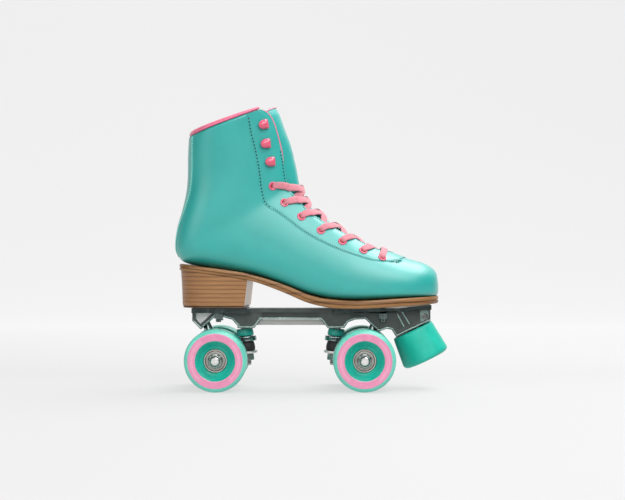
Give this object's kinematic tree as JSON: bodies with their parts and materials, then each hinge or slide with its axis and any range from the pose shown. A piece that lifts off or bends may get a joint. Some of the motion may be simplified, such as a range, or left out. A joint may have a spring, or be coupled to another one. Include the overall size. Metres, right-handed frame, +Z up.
{
  "type": "quad roller skate",
  "caption": "High-top lace-up roller skate with a stacked heel, a cast plate with steering trucks, wide wheels and a bolt-on toe stop.",
  "frame": {"origin": "on the ground under the middle of the skate's box", "axes": "+Z up, +X towards the toe, +Y towards the inner side of the right foot"},
  "size_m": [0.2565, 0.116, 0.2658],
  "materials": {
    "vinyl_teal": "smooth satin vinyl",
    "lining_pink": "soft knit lining",
    "collar_pink": "soft padded vinyl roll",
    "insole_fabric": "fabric-covered foam",
    "enamel_pink": "glossy enamelled metal",
    "lace_pink": "flat woven lace",
    "sole_leather": "burnished sole edge",
    "heel_wood": "stacked heel with fine grain",
    "rubber_black": "matt rubber",
    "plate_chrome": "polished cast metal",
    "steel": "zinc-plated steel",
    "bearing_steel": "ground bearing steel",
    "rubber_teal": "moulded rubber",
    "wheel_urethane": "cast urethane with a printed ring"
  },
  "bodies": {
    "root": {"upper": "vinyl_teal", "eyestay": "vinyl_teal", "backstay": "vinyl_teal", "tongue": "vinyl_teal", "lining": "lining_pink", "collar": "collar_pink", "insole": "insole_fabric", "eyelets_outer": "enamel_pink", "eyelets_inner": "enamel_pink", "hook_outer_1": "enamel_pink", "hook_outer_2": "enamel_pink", "hook_outer_3": "enamel_pink", "hook_inner_1": "enamel_pink", "hook_inner_2": "enamel_pink", "hook_inner_3": "enamel_pink", "lace": "lace_pink", "outsole": "sole_leather", "heel_block": "heel_wood", "heel_lift": "sole_leather", "plate": "plate_chrome", "mount_bolt_rear_outer": "steel", "mount_bolt_rear_inner": "steel", "mount_bolt_front_outer": "steel", "mount_bolt_front_inner": "steel", "toe_stop": "rubber_teal", "toe_stop_washer": "steel", "toe_stop_bolt": "steel", "toe_stop_clamp_screw": "steel", "kingpin_rear": "steel", "upper_cushion_rear": "rubber_teal", "lower_cushion_rear": "rubber_black", "cup_washer_rear": "steel", "kingpin_nut_rear": "steel", "pivot_cup_rear": "rubber_black", "kingpin_front": "steel", "upper_cushion_front": "rubber_teal", "lower_cushion_front": "rubber_black", "cup_washer_front": "steel", "kingpin_nut_front": "steel", "pivot_cup_front": "rubber_black"},
    "rear_truck": {"hanger_rear": "plate_chrome", "axle_rear": "steel", "axle_nut_rear_outer": "steel", "axle_nut_rear_inner": "steel"},
    "front_truck": {"hanger_front": "plate_chrome", "axle_front": "steel", "axle_nut_front_outer": "steel", "axle_nut_front_inner": "steel"},
    "rear_outer_wheel": {"wheel_rear_outer": "wheel_urethane", "outer_bearing_rear_outer": "bearing_steel", "inner_bearing_rear_outer": "bearing_steel"},
    "rear_inner_wheel": {"wheel_rear_inner": "wheel_urethane", "outer_bearing_rear_inner": "bearing_steel", "inner_bearing_rear_inner": "bearing_steel"},
    "front_outer_wheel": {"wheel_front_outer": "wheel_urethane", "outer_bearing_front_outer": "bearing_steel", "inner_bearing_front_outer": "bearing_steel"},
    "front_inner_wheel": {"wheel_front_inner": "wheel_urethane", "outer_bearing_front_inner": "bearing_steel", "inner_bearing_front_inner": "bearing_steel"}
  },
  "joints": [
    {"name": "rear_steer", "type": "hinge", "parent": "root", "child": "rear_truck", "pos_m": [-0.0634, 0, 0.0471], "axis": [0.8972, 0, -0.4416], "range_deg": [-8, 8], "stiffness_Nm_per_rad": 30, "deforming": ["upper_cushion_rear", "lower_cushion_rear"]},
    {"name": "front_steer", "type": "hinge", "parent": "root", "child": "front_truck", "pos_m": [0.022, 0, 0.0471], "axis": [-0.8972, 0, -0.4416], "range_deg": [-8, 8], "stiffness_Nm_per_rad": 30, "deforming": ["upper_cushion_front", "lower_cushion_front"]},
    {"name": "rear_outer_spin", "type": "hinge", "parent": "rear_truck", "child": "rear_outer_wheel", "pos_m": [-0.0893, -0.038, 0.029], "axis": [0, 1, 0], "continuous": true},
    {"name": "rear_inner_spin", "type": "hinge", "parent": "rear_truck", "child": "rear_inner_wheel", "pos_m": [-0.0893, 0.038, 0.029], "axis": [0, 1, 0], "continuous": true},
    {"name": "front_outer_spin", "type": "hinge", "parent": "front_truck", "child": "front_outer_wheel", "pos_m": [0.0479, -0.038, 0.029], "axis": [0, 1, 0], "continuous": true},
    {"name": "front_inner_spin", "type": "hinge", "parent": "front_truck", "child": "front_inner_wheel", "pos_m": [0.0479, 0.038, 0.029], "axis": [0, 1, 0], "continuous": true}
  ]
}
